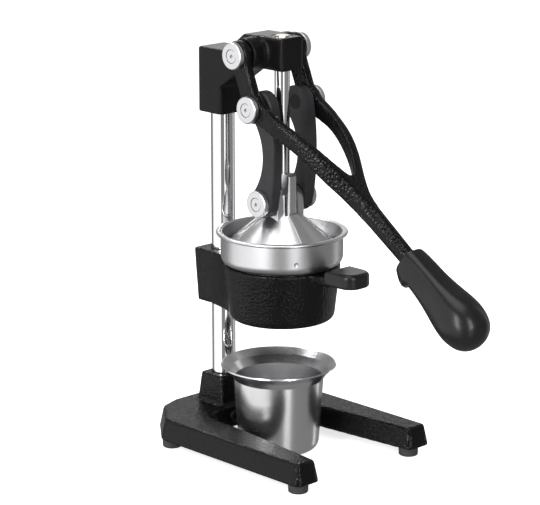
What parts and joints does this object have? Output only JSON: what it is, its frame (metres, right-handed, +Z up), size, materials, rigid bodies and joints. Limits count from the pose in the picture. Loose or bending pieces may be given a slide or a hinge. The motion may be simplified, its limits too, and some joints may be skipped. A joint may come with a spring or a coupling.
{
  "type": "manual citrus press juicer",
  "caption": "Manual lever citrus press: heavy forked lever drives a rod and press cone down onto a strainer above a cup, on a cast base with a chrome post.",
  "frame": {"origin": "on the floor, under the middle of the whole press's box, lever included", "axes": "+Z up, -Y from the post towards the lever's grip, +X completes the right-handed frame; nodes named left are at -X"},
  "size_m": [0.1862, 0.3876, 0.419],
  "materials": {
    "hammered_black": "gloss",
    "satin_black_casting": "satin",
    "grey_paint": "satin",
    "chrome": "polished",
    "zinc": "satin",
    "dark_steel": "satin",
    "bright_steel": "satin",
    "bronze": "satin",
    "stainless": "satin",
    "polished_stainless": "polished",
    "cast_aluminium": "satin",
    "black_plastic": "satin",
    "black_rubber": "matte"
  },
  "bodies": {
    "stand": {"base": "hammered_black", "foot_front_left": "black_rubber", "foot_front_right": "black_rubber", "foot_rear_left": "black_rubber", "foot_rear_right": "black_rubber", "foot_screws": "dark_steel", "column": "chrome", "column_washer": "bright_steel", "column_bolt": "bright_steel", "column_set_screws": "dark_steel", "head": "satin_black_casting", "head_set_screws": "dark_steel", "rod_bush_upper": "bronze", "rod_bush_lower": "bronze", "pivot_shaft": "chrome", "head_cap_left": "zinc", "head_cap_right": "zinc", "head_cap_screw_left": "zinc", "head_cap_screw_right": "zinc", "bowl_holder": "hammered_black", "holder_set_screws": "dark_steel", "holder_grip": "black_plastic", "holder_grip_screw": "dark_steel", "strainer": "stainless", "reamer": "stainless"},
    "lever": {"lever": "hammered_black", "lever_grip": "black_plastic", "head_bush_left": "bronze", "head_bush_right": "bronze", "crank_cap_left": "zinc", "crank_cap_right": "zinc", "crank_cap_screw_left": "zinc", "crank_cap_screw_right": "zinc", "crank_pin_left": "bright_steel", "crank_pin_right": "bright_steel"},
    "link_left": {"link_left": "grey_paint", "link_bush_left": "dark_steel", "link_pin_left": "dark_steel"},
    "link_right": {"link_right": "grey_paint", "link_bush_right": "dark_steel", "link_pin_right": "dark_steel"},
    "press": {"press_rod": "chrome", "press_cone": "cast_aluminium", "rod_screw": "dark_steel", "press_cap_left": "zinc", "press_cap_right": "zinc", "press_cap_screw_left": "zinc", "press_cap_screw_right": "zinc", "press_pin_left": "bright_steel", "press_pin_right": "bright_steel"},
    "cup": {"juice_cup": "polished_stainless"}
  },
  "joints": [
    {"name": "lever_pivot", "type": "hinge", "parent": "stand", "child": "lever", "pos_m": [0, 0.09219, 0.401], "axis": [-1, 0, 0], "range_deg": [0, 95]},
    {"name": "link_left_pivot", "type": "hinge", "parent": "press", "child": "link_left", "pos_m": [-0.03, 0.07119, 0.2568], "axis": [-1, 0, 0], "range_deg": [-18.56, 1.5]},
    {"name": "link_right_pivot", "type": "hinge", "parent": "press", "child": "link_right", "pos_m": [0.03, 0.07119, 0.2568], "axis": [-1, 0, 0], "range_deg": [-18.56, 1.5]},
    {"name": "press_slide", "type": "slide", "parent": "stand", "child": "press", "axis": [0, 0, 1], "range_m": [0, 0.07832]},
    {"name": "cup_slide", "type": "slide", "parent": "stand", "child": "cup", "axis": [0, -1, 0], "range_m": [0, 0.2]}
  ],
  "couplings": [
    {"joint": "link_left_pivot", "follows": "lever_pivot", "ratio": -0.17958},
    {"joint": "link_right_pivot", "follows": "lever_pivot", "ratio": -0.17958},
    {"joint": "press_slide", "follows": "lever_pivot", "m_per_rad": 0.046935}
  ]
}
